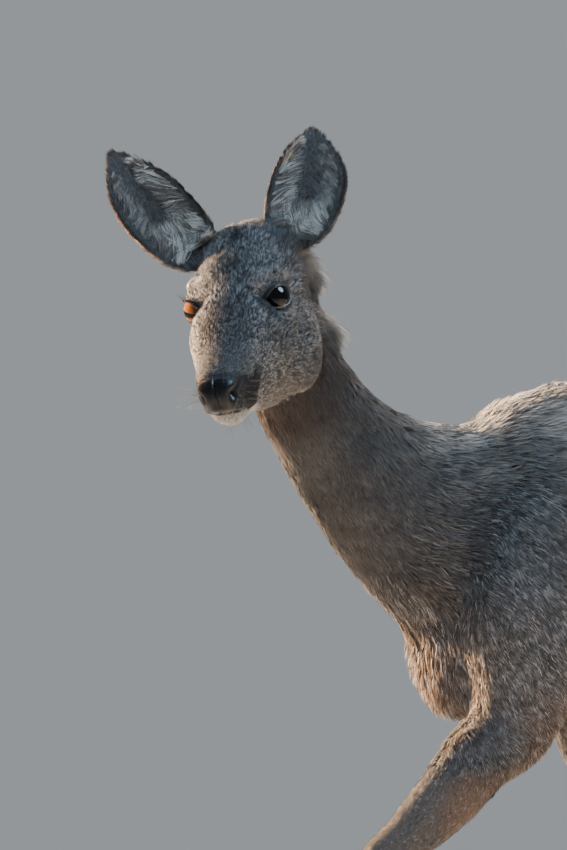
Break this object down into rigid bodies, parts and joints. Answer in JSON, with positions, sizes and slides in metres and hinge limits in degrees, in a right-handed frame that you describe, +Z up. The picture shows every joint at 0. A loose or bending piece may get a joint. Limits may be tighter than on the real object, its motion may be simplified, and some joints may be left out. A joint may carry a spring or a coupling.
{
  "type": "roe deer doe",
  "caption": "Life-size roe deer doe in winter coat, in mid stride, with its head turned to its left.",
  "frame": {"origin": "on the floor, under the middle of the bounding box", "axes": "+Z up, -X the way the trunk faces, -Y the animal's left side"},
  "size_m": [1.0874, 0.317, 0.8868],
  "materials": {
    "winter_coat": "dense grey-brown fur, grizzled",
    "ear_coat": "short fur, dark rim, long pale hair inside",
    "bare_nose": "moist black skin",
    "eyeball": "wet dark eye",
    "claw_horn": "dark horn, slightly polished"
  },
  "bodies": {
    "root": {"head": "winter_coat", "neck": "winter_coat", "trunk": "winter_coat", "tail": "winter_coat", "left_forearm": "winter_coat", "left_fore_cannon": "winter_coat", "left_fore_pastern": "winter_coat", "left_gaskin": "winter_coat", "left_hind_cannon": "winter_coat", "left_hind_pastern": "winter_coat", "right_forearm": "winter_coat", "right_fore_cannon": "winter_coat", "right_fore_pastern": "winter_coat", "right_gaskin": "winter_coat", "right_hind_cannon": "winter_coat", "right_hind_pastern": "winter_coat", "left_ear": "ear_coat", "right_ear": "ear_coat", "nose": "bare_nose", "left_eye": "eyeball", "right_eye": "eyeball", "left_fore_outer_hoof": "claw_horn", "left_fore_outer_dewclaw": "claw_horn", "left_fore_inner_hoof": "claw_horn", "left_fore_inner_dewclaw": "claw_horn", "left_hind_outer_hoof": "claw_horn", "left_hind_outer_dewclaw": "claw_horn", "left_hind_inner_hoof": "claw_horn", "left_hind_inner_dewclaw": "claw_horn", "right_fore_outer_hoof": "claw_horn", "right_fore_outer_dewclaw": "claw_horn", "right_fore_inner_hoof": "claw_horn", "right_fore_inner_dewclaw": "claw_horn", "right_hind_outer_hoof": "claw_horn", "right_hind_outer_dewclaw": "claw_horn", "right_hind_inner_hoof": "claw_horn", "right_hind_inner_dewclaw": "claw_horn"}
  },
  "joints": []
}
